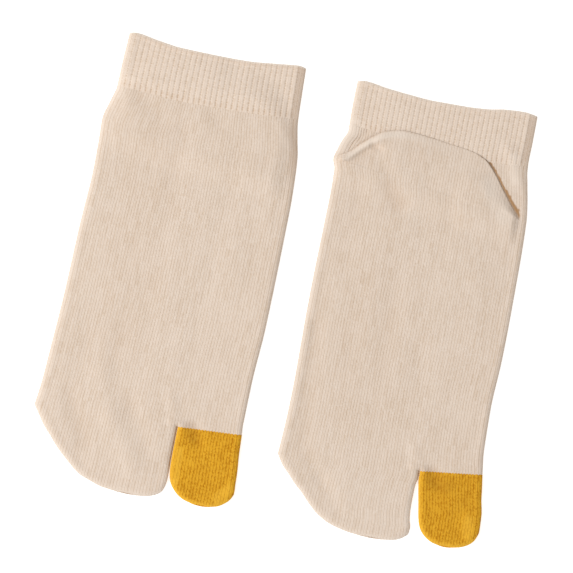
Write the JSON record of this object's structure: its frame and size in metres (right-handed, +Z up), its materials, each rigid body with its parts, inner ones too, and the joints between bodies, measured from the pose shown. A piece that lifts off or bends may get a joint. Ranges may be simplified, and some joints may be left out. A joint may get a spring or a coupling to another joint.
{
  "type": "pair of tabi socks",
  "caption": "Pair of short split-toe tabi socks in fine beige knit with ribbed cuffs and mustard big toes, laid flat: the right sock instep up, the left sole up with its heel folded over.",
  "frame": {"origin": "middle of the pair's overall box, on the surface the socks lie on", "axes": "+Z up from the surface; +Y from the toes towards the cuffs along the picture of the pair; +X from the right-foot sock towards the left-foot sock"},
  "size_m": [0.2512, 0.2574, 0.007],
  "materials": {
    "beige_rib": "matt elastic rib knit",
    "beige_knit": "matt plain knit",
    "mustard_knit": "matt plain knit"
  },
  "bodies": {
    "root": {"right_cuff": "beige_rib", "right_leg": "beige_knit", "right_foot": "beige_knit", "right_four_toes": "beige_knit", "right_big_toe": "mustard_knit", "left_cuff": "beige_rib", "left_leg": "beige_knit", "left_foot": "beige_knit", "left_four_toes": "beige_knit", "left_big_toe": "mustard_knit"}
  },
  "joints": []
}
